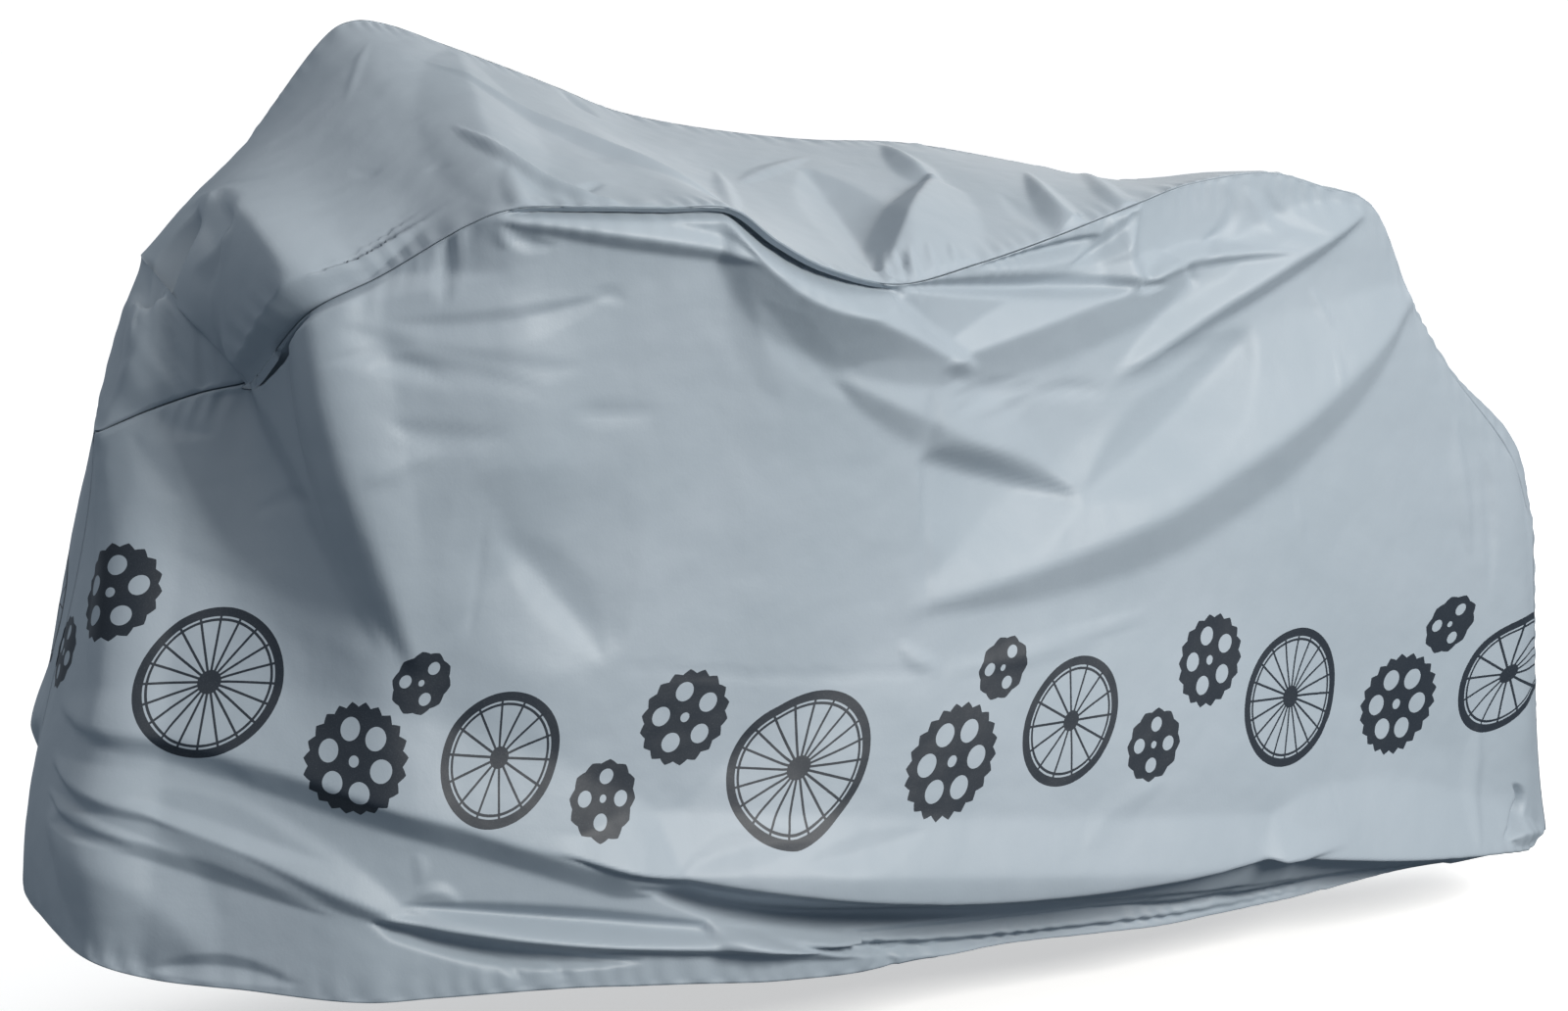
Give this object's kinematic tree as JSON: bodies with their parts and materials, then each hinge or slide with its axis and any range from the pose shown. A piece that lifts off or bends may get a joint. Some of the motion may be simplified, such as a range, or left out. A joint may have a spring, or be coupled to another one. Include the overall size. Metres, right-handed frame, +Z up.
{
  "type": "bicycle cover",
  "caption": "Draped sheet cover for a bicycle: two side panels and a leaf shaped top gusset that runs down the rear, hollow and open at the hem.",
  "frame": {"origin": "on the floor side, under the middle of the cover's box, at the height of its lowest hem", "axes": "+X along the cover from front to rear, +Y from the near side to the far side, +Z up"},
  "size_m": [1.9284, 0.6538, 1.0349],
  "materials": {
    "silver_cloth": "satin coated"
  },
  "bodies": {
    "root": {"near_side_panel": "silver_cloth", "far_side_panel": "silver_cloth", "top_gusset": "silver_cloth"}
  },
  "joints": []
}
